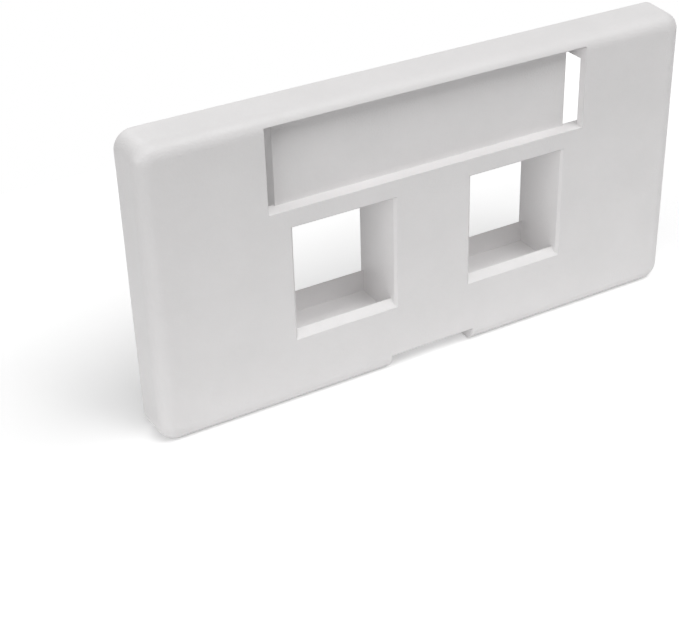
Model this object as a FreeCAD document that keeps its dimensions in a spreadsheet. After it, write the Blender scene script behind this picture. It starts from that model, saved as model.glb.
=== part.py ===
import FreeCAD, Part
import os
import re
import Sketcher
from FreeCAD import Vector

# Two-port keystone faceplate for a modular-furniture knockout, moulded in one piece.
# Frame: +X to the right seen from the front, +Y from the front face to the rear, +Z up.
# The origin is the middle of the bottom of the part's box, so the plate stands on its
# long lower edge. Inside the body, Y runs from the front face and Z from the lower edge.

NODE = "faceplate"

SIZES = (
    ("plate_width", 81.9, "outline at the rear rim"),
    ("plate_height", 42.3, "outline at the rear rim"),
    ("plate_depth", 6.1, "front face to rear rim"),
    ("side_draft", 2.8, "degrees, on the ends and the top"),
    ("corner_radius", 2.5, "outline corners"),
    ("front_round", 2.0, "round along the edge of the front face"),
    ("rim_break", 0.25, "small round along the rear rim"),
    ("wall", 1.6, "perimeter wall"),
    ("face_wall", 2.4, "front wall"),
    ("window_width", 48.2, "label window"),
    ("window_bar", 2.5, "face left between the port openings and the window"),
    ("panel_recess", 2.0, "front face to label panel"),
    ("panel_wall", 1.2, "label panel"),
    ("panel_lap", 1.4, "panel behind the ledge"),
    ("box_end_depth", 3.4, "panel end walls, from the panel's front"),
    ("cover_slot", 1.85, "slot for the clear cover at each end of the panel"),
    ("catch_wall", 1.2, "front wall left beside a slot, where the cover hooks"),
    ("catch_width", 2.4, "relief behind that wall"),
    ("gusset_wall", 1.2, "gusset above each relief"),
    ("gusset_height", 2.0, "gusset, below the window's top"),
    ("gusset_depth", 5.0, "front face to the gusset's rear edge"),
    ("port_pitch", 26.8, "between the two port centres"),
    ("port_width", 14.8, "keystone opening"),
    ("port_height", 15.7, "keystone opening at the front"),
    ("port_floor", 10.8, "height of the opening's lower edge"),
    ("port_depth", 9.2, "front face to the sleeve's rear edge"),
    ("sleeve_wall", 1.4, "wall of each port sleeve"),
    ("lip_depth", 1.2, "front face to the rear of the lip along the lower edge"),
    ("hook_pocket", 2.55, "pocket behind the lip for the jack's hook, below port_floor"),
    ("ridge_front", 8.6, "front face to the ridge that closes the pocket"),
    ("ridge_rise", 0.65, "ridge above port_floor"),
    ("ridge_bevel", 0.5, "bevel that leads the jack over the ridge"),
    ("port_bevel", 1.0, "bevel along the opening's lower edge"),
    ("port_side_bevel", 0.38, "bevel along the opening's sides"),
    ("catch_window_width", 9.0, "window in the sleeve's roof for the jack's latch"),
    ("catch_window_front", 5.8, "front face to that window"),
    ("catch_window_depth", 2.2, "window, front to rear"),
    ("rib_wall", 1.0, "stiffening ribs"),
    ("rib_depth", 5.0, "front face to the ribs' rear edge"),
    ("rib_to_latch", 3.65, "between the level ribs and the latches above them"),
    ("rib_drop", 1.7, "upper middle rib, below the top of the port openings"),
    ("opening_width", 68.3, "furniture knockout"),
    ("opening_height", 35.1, "furniture knockout"),
    ("opening_gap", 0.35, "clearance to the knockout's edge"),
    ("locator_length", 6.0, "each locating rib"),
    ("locator_spacing", 26.8, "between locating ribs, centre to centre"),
    ("locator_depth", 1.4, "locating ribs beyond the rear rim"),
    ("latch_width", 9.0, "snap latch"),
    ("latch_wall", 1.5, "snap latch arm"),
    ("latch_reach", 5.0, "latch beyond the rear rim"),
    ("panel_grip", 1.9, "rear rim to the latch's tooth"),
    ("tooth_height", 0.9, "tooth beyond the knockout's edge, less its clearance"),
    ("tooth_land", 0.5, "flat at the tooth's top"),
    ("latch_fillet", 0.7, "round at the latch's root"),
    ("notch_width", 13.3, "pry notch in the lower edge"),
    ("notch_height", 2.25, "pry notch"),
    ("merge", 0.4, "depth by which an added wall runs into its neighbour"),
)
ALIASES = {alias for alias, _, _ in SIZES}
TOLERANCE = 0.01

# Places that follow from the sizes above.
PORT_TOP = "(port_floor + port_height)"
RIDGE_TOP = "(port_floor + ridge_rise)"
SLEEVE_BOTTOM = "(port_floor - hook_pocket - sleeve_wall)"
WINDOW_SILL = f"({PORT_TOP} + window_bar)"
WINDOW_TOP = "(plate_height - wall)"
MIDDLE = "(plate_height / 2)"


def sized(expression):
    """Point every size name in an expression at its cell in the sheet."""
    return re.sub(r"[a-z_]{3,}",
                  lambda m: "Sizes." + m.group() if m.group() in ALIASES else m.group(),
                  expression)


def make_sheet(doc):
    sheet = doc.addObject("Spreadsheet::Sheet", "Sizes")
    for row, (alias, value, note) in enumerate(SIZES, start=1):
        sheet.set(f"A{row}", note)
        sheet.set(f"B{row}", str(value))
        sheet.setAlias(f"B{row}", alias)
    doc.recompute()
    return sheet


def origin_plane(body, role):
    return next(item for item in body.Origin.OriginFeatures if item.Role == role)


def add_sketch(body, name, role, distance="0"):
    """A sketch on an origin plane, moved along +Y (XZ_Plane) or +Z (XY_Plane) by distance."""
    sketch = body.newObject("Sketcher::SketchObject", name)
    sketch.AttachmentSupport = [(origin_plane(body, role), "")]
    sketch.MapMode = "FlatFace"
    sign = "-" if role == "XZ_Plane" else ""
    sketch.setExpression("AttachmentOffset.Base.z", f"{sign}({sized(distance)})")
    return sketch


def bind(sketch, kind, vertex, expression, guess):
    """Hold one vertex at a bound distance from the sketch's origin."""
    index = sketch.addConstraint(Sketcher.Constraint(kind, -1, 1, *vertex, guess))
    sketch.setExpression(f"Constraints[{index}]", sized(expression))


def add_rectangle(sketch, left, right, low, high):
    """A rectangle whose sides lie at the given distances from the sketch's origin."""
    corners = (Vector(0, 0, 0), Vector(9, 0, 0), Vector(9, 9, 0), Vector(0, 9, 0))
    first = sketch.GeometryCount
    for i in range(4):
        sketch.addGeometry(Part.LineSegment(corners[i], corners[(i + 1) % 4]), False)
    for i in range(4):
        following = first + (i + 1) % 4
        sketch.addConstraint(Sketcher.Constraint("Coincident", first + i, 2, following, 1))
        direction = "Horizontal" if i % 2 == 0 else "Vertical"
        sketch.addConstraint(Sketcher.Constraint(direction, first + i))
    bind(sketch, "DistanceX", (first, 1), left, 0.0)
    bind(sketch, "DistanceX", (first, 2), right, 9.0)
    bind(sketch, "DistanceY", (first, 1), low, 0.0)
    bind(sketch, "DistanceY", (first + 2, 1), high, 9.0)


def add_mirrored_rectangles(sketch, inner, outer, low, high):
    """One rectangle on each side of the middle, between the distances inner and outer."""
    add_rectangle(sketch, inner, outer, low, high)
    add_rectangle(sketch, f"-({outer})", f"-({inner})", low, high)


def add_polygon(sketch, corners):
    """A closed outline whose corners are pairs of bound distances from the origin."""
    count = len(corners)
    ring = Part.makePolygon([Vector(i, i * i, 0) for i in range(count)]).Vertexes
    for i in range(count):
        line = Part.LineSegment(ring[i].Point, ring[(i + 1) % count].Point)
        sketch.addGeometry(line, False)
    for i, (across, along) in enumerate(corners):
        sketch.addConstraint(Sketcher.Constraint("Coincident", i, 2, (i + 1) % count, 1))
        bind(sketch, "DistanceX", (i, 1), across, float(i))
        bind(sketch, "DistanceY", (i, 1), along, float(i * i))


def settle(body, feature, grows):
    """Recompute, and make sure that the feature added or removed material as meant."""
    before = feature.BaseFeature.Shape.Volume if feature.BaseFeature else 0.0
    body.Document.recompute()
    change = feature.Shape.Volume - before
    if change == 0 or (change > 0) != grows:
        raise RuntimeError(f"{feature.Name} changed the volume by {change:.3f}")
    return feature


def pad(body, sketch, length, symmetric=False):
    """Add material from the sketch towards +Y, or evenly about it."""
    feature = body.newObject("PartDesign::Pad", sketch.Name.replace("_sketch", ""))
    feature.Profile = sketch
    feature.setExpression("Length", sized(length))
    feature.Midplane = symmetric
    feature.Reversed = not symmetric
    sketch.Visibility = False
    return settle(body, feature, grows=True)


def pocket(body, sketch, length=None, from_rear=False):
    """Cut from the sketch towards +Y, or towards the front when from_rear is set."""
    feature = body.newObject("PartDesign::Pocket", sketch.Name.replace("_sketch", ""))
    feature.Profile = sketch
    feature.Reversed = from_rear
    if length is None:
        feature.Type = "ThroughAll"
    else:
        feature.setExpression("Length", sized(length))
    sketch.Visibility = False
    return settle(body, feature, grows=False)


def dress(body, kind, name, edges, size, grows=False):
    """A fillet or chamfer on edges of the body's present tip."""
    if not edges:
        raise RuntimeError(f"{name} found no edges")
    feature = body.newObject(f"PartDesign::{kind}", name)
    feature.Base = (feature.BaseFeature, edges)
    feature.setExpression("Radius" if kind == "Fillet" else "Size", sized(size))
    return settle(body, feature, grows)


def edges_where(shape, test):
    return [f"Edge{i}" for i, edge in enumerate(shape.Edges, start=1) if test(edge)]


def near(a, b):
    return abs(a - b) < TOLERANCE


def spans(edge, axis):
    """Whether an edge runs mainly along one axis, 0 to 2 for X to Z."""
    size = (edge.BoundBox.XLength, edge.BoundBox.YLength, edge.BoundBox.ZLength)
    return max(size) == size[axis]


def on_front(edge):
    return edge.BoundBox.YMax < TOLERANCE


def outer_form(body):
    """The plate's outside: a drafted block with rounded corners and front edge."""
    block = body.newObject("PartDesign::AdditiveWedge", "plate_block")
    draft = "plate_depth * tan(side_draft * 1 deg)"
    limits = {
        "Ymin": "0", "Ymax": "plate_depth",
        "Zmin": "0", "Zmax": f"plate_height - {draft}",
        "Z2min": "0", "Z2max": "plate_height",
        "Xmin": f"{draft} - plate_width / 2", "Xmax": f"plate_width / 2 - {draft}",
        "X2min": "-plate_width / 2", "X2max": "plate_width / 2",
    }
    for limit, expression in limits.items():
        block.setExpression(limit, sized(expression))
    settle(body, block, grows=True)
    corners = edges_where(block.Shape, lambda e: spans(e, 1))
    rounds = dress(body, "Fillet", "corner_rounds", corners, "corner_radius")
    front = edges_where(rounds.Shape, on_front)
    dress(body, "Fillet", "front_edge_round", front, "front_round")


def rear_cavity(body):
    """The hollow behind the front wall, open to the rear."""
    sketch = add_sketch(body, "rear_cavity_sketch", "XZ_Plane", "plate_depth")
    add_rectangle(sketch, "-(plate_width / 2 - wall)", "plate_width / 2 - wall",
                  "wall", WINDOW_TOP)
    pocket(body, sketch, "plate_depth - face_wall", from_rear=True)


def label_window(body):
    """The window, its recessed panel with end walls, and the cover's two slots."""
    window = add_sketch(body, "label_window_sketch", "XZ_Plane")
    add_rectangle(window, "-window_width / 2", "window_width / 2", WINDOW_SILL, WINDOW_TOP)
    pocket(body, window, "face_wall")

    panel_edge = "window_width / 2 - cover_slot"
    roof = f"{WINDOW_TOP} + merge"
    panel = add_sketch(body, "label_panel_sketch", "XZ_Plane", "panel_recess")
    add_rectangle(panel, f"-({panel_edge})", panel_edge, f"{WINDOW_SILL} - panel_lap", roof)
    pad(body, panel, "panel_wall")

    ends = add_sketch(body, "label_box_ends_sketch", "XZ_Plane", "panel_recess")
    add_mirrored_rectangles(ends, f"{panel_edge} - sleeve_wall", panel_edge, PORT_TOP, roof)
    pad(body, ends, "box_end_depth")

    catches = add_sketch(body, "cover_catches_sketch", "XZ_Plane", "face_wall")
    add_mirrored_rectangles(catches, "window_width / 2 - merge", "window_width / 2 + catch_width",
                            WINDOW_SILL, f"{WINDOW_TOP} - gusset_height")
    pocket(body, catches, "face_wall - catch_wall", from_rear=True)

    gussets = add_sketch(body, "cover_gussets_sketch", "XZ_Plane", "panel_recess")
    add_mirrored_rectangles(gussets, "window_width / 2", "window_width / 2 + gusset_wall",
                            f"{WINDOW_TOP} - gusset_height", roof)
    pad(body, gussets, "gusset_depth - panel_recess")


def port_side(sign, margin="0"):
    """The distance of a port opening's side from the middle, moved out by a margin."""
    return f"port_pitch / 2 {sign} (port_width / 2 + {margin})"


def port_sleeves(body, sheet):
    """Two keystone openings, each with a sleeve that runs back past the rear rim."""
    sleeves = add_sketch(body, "port_sleeves_sketch", "XZ_Plane", "face_wall - merge")
    add_mirrored_rectangles(sleeves, port_side("-", "sleeve_wall"), port_side("+", "sleeve_wall"),
                            SLEEVE_BOTTOM, f"{PORT_TOP} + sleeve_wall")
    pad(body, sleeves, "port_depth - face_wall + merge")
    cut_ports(body)
    bevel_ports(body, sheet)

    windows = add_sketch(body, "latch_windows_sketch", "XY_Plane",
                         f"{PORT_TOP} + sleeve_wall + merge")
    add_mirrored_rectangles(windows, "port_pitch / 2 - catch_window_width / 2",
                            "port_pitch / 2 + catch_window_width / 2",
                            "catch_window_front", "catch_window_front + catch_window_depth")
    pocket(body, windows, "sleeve_wall + 2 * merge")


def cut_ports(body):
    """The openings, and in their floors a lip, a pocket for the jack's hook and a ridge."""
    steps = (
        ("port_openings_sketch", "0", RIDGE_TOP, PORT_TOP, None),
        ("port_floors_sketch", "0", "port_floor", f"{RIDGE_TOP} + merge", "ridge_front"),
        ("hook_pockets_sketch", "lip_depth", "port_floor - hook_pocket", "port_floor + merge",
         "ridge_front - lip_depth"),
    )
    for name, start, low, high, length in steps:
        sketch = add_sketch(body, name, "XZ_Plane", start)
        add_mirrored_rectangles(sketch, port_side("-"), port_side("+"), low, high)
        pocket(body, sketch, length)


def bevel_ports(body, sheet):
    """Bevels on the openings' front edges and on the ridges' upper rear edges."""
    floor, depth = sheet.port_floor, sheet.port_depth
    ridge_top = floor + sheet.ridge_rise
    sides = [sheet.port_pitch / 2 + side * sheet.port_width / 2 for side in (-1, 1)]

    def is_sill(edge):
        return on_front(edge) and spans(edge, 0) and near(edge.CenterOfMass.z, floor)

    def is_side(edge):
        distance = abs(edge.CenterOfMass.x)
        return on_front(edge) and spans(edge, 2) and any(near(distance, side) for side in sides)

    def is_ridge(edge):
        middle = edge.CenterOfMass
        return spans(edge, 0) and near(middle.y, depth) and near(middle.z, ridge_top)

    for name, test, size in (("port_sill_bevels", is_sill, "port_bevel"),
                             ("port_side_bevels", is_side, "port_side_bevel"),
                             ("ridge_bevels", is_ridge, "ridge_bevel")):
        dress(body, "Chamfer", name, edges_where(body.Tip.Shape, test), size)


def stiffening_ribs(body):
    """Level ribs beside and between the sleeves, and upright ribs below them."""
    level = add_sketch(body, "level_ribs_sketch", "XZ_Plane", "face_wall - merge")
    gap = port_side("-", "sleeve_wall - merge")
    low_top = f"{MIDDLE} - latch_width / 2 - rib_to_latch"
    for top in (low_top, f"{PORT_TOP} - rib_drop + rib_wall"):
        add_rectangle(level, f"-({gap})", gap, f"{top} - rib_wall", top)
    add_mirrored_rectangles(level, port_side("+", "sleeve_wall - merge"),
                            "plate_width / 2 - wall + merge", f"{low_top} - rib_wall", low_top)
    pad(body, level, "rib_depth - face_wall + merge")

    upright = add_sketch(body, "upright_ribs_sketch", "XZ_Plane", "face_wall - merge")
    add_mirrored_rectangles(upright, "port_pitch / 2 - rib_wall / 2", "port_pitch / 2 + rib_wall / 2",
                            "wall - merge", f"{SLEEVE_BOTTOM} + merge")
    pad(body, upright, "rib_depth - face_wall + merge")


def locating_ribs(body):
    """Ribs that centre the plate's height in the knockout, above and below."""
    reach = "(opening_height / 2 - opening_gap)"
    start, end = "locator_spacing / 2 - locator_length / 2", "locator_spacing / 2 + locator_length / 2"
    sketch = add_sketch(body, "locating_ribs_sketch", "XZ_Plane", "face_wall - merge")
    add_mirrored_rectangles(sketch, start, end, f"{MIDDLE} - {reach}", f"{MIDDLE} - {reach} + rib_wall")
    add_mirrored_rectangles(sketch, start, end, f"{MIDDLE} + {reach} - rib_wall", f"{MIDDLE} + {reach}")
    pad(body, sketch, "plate_depth - face_wall + merge + locator_depth")


def snap_latches(body, sheet):
    """A springy hooked arm at each end, which snaps behind the furniture panel."""
    outside = "(opening_width / 2 - opening_gap)"
    inside = f"{outside} - latch_wall"
    tooth = f"{outside} + tooth_height"
    tip = "plate_depth + latch_reach"
    sketch = add_sketch(body, "snap_latches_sketch", "XY_Plane", MIDDLE)
    add_polygon(sketch, (
        (inside, "face_wall - merge"),
        (outside, "face_wall - merge"),
        (outside, "plate_depth + panel_grip"),
        (tooth, "plate_depth + panel_grip"),
        (tooth, "plate_depth + panel_grip + tooth_land"),
        (f"{outside} - latch_wall / 3", tip),
        (inside, tip),
    ))
    arm = pad(body, sketch, "latch_width", symmetric=True)

    root = sheet.face_wall
    middle = sheet.plate_height / 2
    arm_outside = sheet.opening_width / 2 - sheet.opening_gap
    arm_inside = arm_outside - sheet.latch_wall

    def at_root(edge):
        distance = edge.CenterOfMass.x
        level = near(edge.BoundBox.YMin, root) and near(edge.BoundBox.YMax, root)
        beside = near(distance, arm_inside) or near(distance, arm_outside)
        return level and beside and near(edge.CenterOfMass.z, middle) and spans(edge, 2)

    rounds = dress(body, "Fillet", "latch_root_rounds", edges_where(arm.Shape, at_root),
                   "latch_fillet", grows=True)
    mirrored = body.newObject("PartDesign::Mirrored", "snap_latches_mirrored")
    mirrored.Originals = [arm, rounds]
    mirrored.MirrorPlane = (origin_plane(body, "YZ_Plane"), [""])
    body.Tip = mirrored
    settle(body, mirrored, grows=True)


def pry_notch(body):
    """A notch through the lower edge, where a flat blade lifts the plate off."""
    sketch = add_sketch(body, "pry_notch_sketch", "XZ_Plane")
    add_rectangle(sketch, "-notch_width / 2", "notch_width / 2", "-merge", "notch_height")
    pocket(body, sketch)


def rim_edge(body, sheet):
    """A small round along the outside of the rear rim, at its ends and top."""
    depth, height = sheet.plate_depth, sheet.plate_height
    half = sheet.plate_width / 2

    def on_rim(edge):
        box = edge.BoundBox
        level = near(box.YMin, depth) and near(box.YMax, depth)
        outside = near(box.XMax, half) or near(box.XMin, -half) or near(box.ZMax, height)
        return level and outside

    rim = edges_where(body.Tip.Shape, on_rim)
    dress(body, "Fillet", "rim_edge_round", rim, "rim_break")


def build_faceplate(doc, sheet):
    body = doc.addObject("PartDesign::Body", NODE)
    body.Label = NODE
    outer_form(body)
    rear_cavity(body)
    label_window(body)
    port_sleeves(body, sheet)
    stiffening_ribs(body)
    locating_ribs(body)
    snap_latches(body, sheet)
    pry_notch(body)
    rim_edge(body, sheet)
    body.setExpression("Placement.Base.y", sized("-(plate_depth + latch_reach) / 2"))
    doc.recompute()
    return body


def check_document(doc, bodies):
    """Stop unless every object is sound and every sub-part is one valid solid."""
    for item in doc.Objects:
        if {"Invalid", "Error"} & set(item.State):
            raise RuntimeError(f"{item.Name} did not compute: {item.State}")
    for body in bodies:
        shape = body.Shape
        if shape.isNull() or not shape.isValid() or len(shape.Solids) != 1:
            raise RuntimeError(f"{body.Label} is not one valid solid")
        print(f"{body.Label}: volume {shape.Volume:.1f} mm3, box {shape.BoundBox}")


def main():
    doc = FreeCAD.newDocument("keystone_faceplate")
    sheet = make_sheet(doc)
    bodies = [build_faceplate(doc, sheet)]
    check_document(doc, bodies)
    os.makedirs("parts", exist_ok=True)
    for body in bodies:
        body.Shape.exportStep(f"parts/{body.Label}.step")


main()
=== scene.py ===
import math

import bpy
from mathutils import Matrix, Vector


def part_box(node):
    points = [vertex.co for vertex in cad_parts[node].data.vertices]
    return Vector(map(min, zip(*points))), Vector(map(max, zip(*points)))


# White keystone faceplate, standing on its long lower edge on a white studio floor.
# Everything is in metres, in the CAD frame: +X right, +Y from the front face to the rear.

MM = 0.001
WHITE = (1.0, 1.0, 1.0, 1.0)

# Camera: an orbit round a point on the front face, left of centre.
CAMERA_AZIMUTH = 29.91        # degrees left of the plate's own front
CAMERA_ELEVATION = 30.54
CAMERA_ROLL = -1.13
CAMERA_DISTANCE = 195.6 * MM
CAMERA_AIM = (-10.0 * MM, 0.0, 15.6 * MM)   # from the middle of the box's lower front edge
CAMERA_LENS = 78.7            # mm
CAMERA_SENSOR = 36.0          # mm
CAMERA_SHIFT = (-0.0440, -0.0583)
CAMERA_NEAR = 10 * MM

PLASTIC_WHITE = (0.806, 0.792, 0.793, 1.0)
PLASTIC_SHADE = (0.778, 0.766, 0.766, 1.0)
PLASTIC_ROUGHNESS = (0.40, 0.50)
PLASTIC_IOR = 1.5
MOTTLE_SIZE, MOTTLE_DETAIL = 7 * MM, 3.0      # patches of slightly different white
SATIN_SIZE, SATIN_DETAIL = 1.5 * MM, 2.0      # patches of slightly different gloss
EDGE_RADIUS, EDGE_SAMPLES = 0.18 * MM, 6      # how round the sharp edges look
WAVE_SIZE, WAVE_DETAIL, WAVE_DEPTH = 12 * MM, 0.0, 0.02 * MM
GRAIN_SIZE, GRAIN_DETAIL, GRAIN_DEPTH = 0.25 * MM, 1.0, 0.015 * MM
NOISE_RANGE = (0.3, 0.7)      # where nearly all of a noise node's values lie

FLOOR_WHITE = (0.92, 0.92, 0.92, 1.0)
FLOOR_ROUGHNESS = 0.9
FLOOR_SIZE = (250 * MM, 150 * MM)   # a white sheet under the plate; past it the backdrop is white
# Glow of the sheet's middle and rim. It lights nothing that is matte, and with the lamps' share
# it makes the sheet white to look at.
FLOOR_GLOW = (0.24, 0.39)
FLOOR_GLOW_RANGE = (0.2, 0.5)       # where it rises, from the middle in fractions of the sheet

WORLD_LIGHT = 0.137
SOFTBOX_DISTANCE = 1.2
SOFTBOX_SIZE = 0.75
# name, azimuth, elevation, watts; azimuth 0 is in front of the plate, positive on its left
SOFTBOXES = (
    ("top_front", 0, 62, 4.85),
    ("top_right", -45, 56, 4.95),
    ("left", 69, 12, 4.8),
    ("left_front", 45, 48, 0.9),
    ("rear", 180, 37, 2.8),
)


def orbit(azimuth, elevation, distance):
    """A vector from the aim towards a viewer or lamp; azimuth 0 is in front, negative right."""
    a, e = math.radians(azimuth), math.radians(elevation)
    return distance * Vector((-math.sin(a) * math.cos(e), -math.cos(a) * math.cos(e), math.sin(e)))


def aim_at(obj, place, target, roll=0.0):
    forward = (target - place).normalized()
    turn = forward.to_track_quat("-Z", "Y").to_matrix()
    turn = turn @ Matrix.Rotation(math.radians(roll), 3, "Z")
    obj.matrix_world = Matrix.Translation(place) @ turn.to_4x4()


def add_object(name, data):
    obj = bpy.data.objects.new(name, data)
    bpy.context.scene.collection.objects.link(obj)
    return obj


def add_camera(low, high):
    data = bpy.data.cameras.new("camera")
    data.lens = CAMERA_LENS
    data.sensor_width = CAMERA_SENSOR
    data.shift_x, data.shift_y = CAMERA_SHIFT
    data.clip_start = CAMERA_NEAR
    camera = add_object("camera", data)
    aim = Vector(((low.x + high.x) / 2, low.y, low.z)) + Vector(CAMERA_AIM)
    place = aim + orbit(CAMERA_AZIMUTH, CAMERA_ELEVATION, CAMERA_DISTANCE)
    aim_at(camera, place, aim, CAMERA_ROLL)
    bpy.context.scene.camera = camera


def feed(tree, node, values):
    """Give a node's inputs their values: another node's socket, a number, a colour or a vector."""
    for name, value in values.items():
        if isinstance(value, bpy.types.NodeSocket):
            tree.links.new(value, node.inputs[name])
        else:
            node.inputs[name].default_value = value


def add_node(tree, kind, inputs, **settings):
    made = tree.nodes.new("ShaderNode" + kind)
    for name, value in settings.items():
        setattr(made, name, value)
    feed(tree, made, inputs)
    return made


def calculate(tree, operation, first, second):
    return add_node(tree, "Math", {0: first, 1: second}, operation=operation).outputs[0]


def rescale(tree, value, old_range, new_range):
    ranges = {"Value": value, "From Min": old_range[0], "From Max": old_range[1],
              "To Min": new_range[0], "To Max": new_range[1]}
    return add_node(tree, "MapRange", ranges).outputs["Result"]


def noise(tree, place, size, detail):
    """Lumps about size across, spread between 0 and 1."""
    lumps = add_node(tree, "TexNoise", {"Vector": place, "Scale": 1 / size, "Detail": detail})
    return rescale(tree, lumps.outputs["Fac"], NOISE_RANGE, (0.0, 1.0))


def bump(tree, height, depth, normal):
    relief = add_node(tree, "Bump", {"Height": height, "Distance": depth, "Normal": normal})
    return relief.outputs["Normal"]


def moulded_plastic():
    """White ABS: slow waves and mottling from the cooling, fine grain from the mould's steel."""
    material = bpy.data.materials.new("white_moulded_plastic")
    material.use_nodes = True
    tree = material.node_tree
    place = add_node(tree, "TexCoord", {}).outputs["Object"]
    # Set first, because the colour sockets A and B only come with this data type.
    colour = add_node(tree, "Mix", {}, data_type="RGBA")
    mottle = noise(tree, place, MOTTLE_SIZE, MOTTLE_DETAIL)
    feed(tree, colour, {"Factor": mottle, "A": PLASTIC_SHADE, "B": PLASTIC_WHITE})
    satin = noise(tree, place, SATIN_SIZE, SATIN_DETAIL)

    edges = {"Radius": EDGE_RADIUS}
    normal = add_node(tree, "Bevel", edges, samples=EDGE_SAMPLES).outputs["Normal"]
    normal = bump(tree, noise(tree, place, WAVE_SIZE, WAVE_DETAIL), WAVE_DEPTH, normal)
    normal = bump(tree, noise(tree, place, GRAIN_SIZE, GRAIN_DETAIL), GRAIN_DEPTH, normal)

    feed(tree, tree.nodes["Principled BSDF"], {
        "Base Color": colour.outputs["Result"],
        "Roughness": rescale(tree, satin, (0.0, 1.0), PLASTIC_ROUGHNESS),
        "Normal": normal,
        "IOR": PLASTIC_IOR})
    return material


def seen_directly(tree):
    """1 for the rays through which a backdrop is seen, and 0 for light."""
    path = add_node(tree, "LightPath", {}).outputs
    seen = calculate(tree, "MAXIMUM", path["Is Camera Ray"], path["Is Glossy Ray"])
    return calculate(tree, "MAXIMUM", seen, path["Is Transmission Ray"])


def add_floor():
    """A white sheet that takes the plate's shadow. Its rim melts into the white backdrop."""
    bpy.ops.mesh.primitive_plane_add(size=1.0)
    floor = bpy.context.object
    floor.name = "studio_floor"
    floor.scale = (*FLOOR_SIZE, 1.0)
    material = bpy.data.materials.new("studio_floor_white")
    material.use_nodes = True
    material.cycles.emission_sampling = "NONE"
    tree = material.node_tree
    place = add_node(tree, "TexCoord", {}).outputs["Object"]
    outward = add_node(tree, "VectorMath", {0: place}, operation="LENGTH").outputs["Value"]
    glow = rescale(tree, outward, FLOOR_GLOW_RANGE, FLOOR_GLOW)
    feed(tree, tree.nodes["Principled BSDF"], {
        "Base Color": FLOOR_WHITE,
        "Roughness": FLOOR_ROUGHNESS,
        "Specular IOR Level": 0.0,
        "Emission Color": WHITE,
        "Emission Strength": calculate(tree, "MULTIPLY", seen_directly(tree), glow)})
    floor.data.materials.append(material)


def add_backdrop():
    """A world that is white to look at and gives a little even light."""
    world = bpy.data.worlds.new("studio")
    bpy.context.scene.world = world
    world.use_nodes = True
    tree = world.node_tree
    level = rescale(tree, seen_directly(tree), (0.0, 1.0), (WORLD_LIGHT, 1.0))
    feed(tree, tree.nodes["Background"], {"Color": WHITE, "Strength": level})


def add_softbox(name, azimuth, elevation, watts, aim):
    data = bpy.data.lights.new(name, "AREA")
    data.shape = "SQUARE"
    data.size = SOFTBOX_SIZE
    data.energy = watts
    aim_at(add_object(name, data), aim + orbit(azimuth, elevation, SOFTBOX_DISTANCE), aim)


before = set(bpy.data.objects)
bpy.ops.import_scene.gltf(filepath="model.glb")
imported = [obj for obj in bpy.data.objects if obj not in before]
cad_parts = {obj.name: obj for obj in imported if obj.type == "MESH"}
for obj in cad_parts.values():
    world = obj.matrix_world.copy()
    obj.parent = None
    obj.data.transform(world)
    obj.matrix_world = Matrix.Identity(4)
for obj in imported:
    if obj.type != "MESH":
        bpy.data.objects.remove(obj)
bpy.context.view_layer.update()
bpy.context.scene.view_settings.view_transform = "Standard"

low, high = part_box("faceplate")
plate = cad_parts["faceplate"]
plate.data.materials.clear()
plate.data.materials.append(moulded_plastic())

add_camera(low, high)
add_floor()
add_backdrop()
for name, azimuth, elevation, watts in SOFTBOXES:
    add_softbox(name, azimuth, elevation, watts, (low + high) / 2)
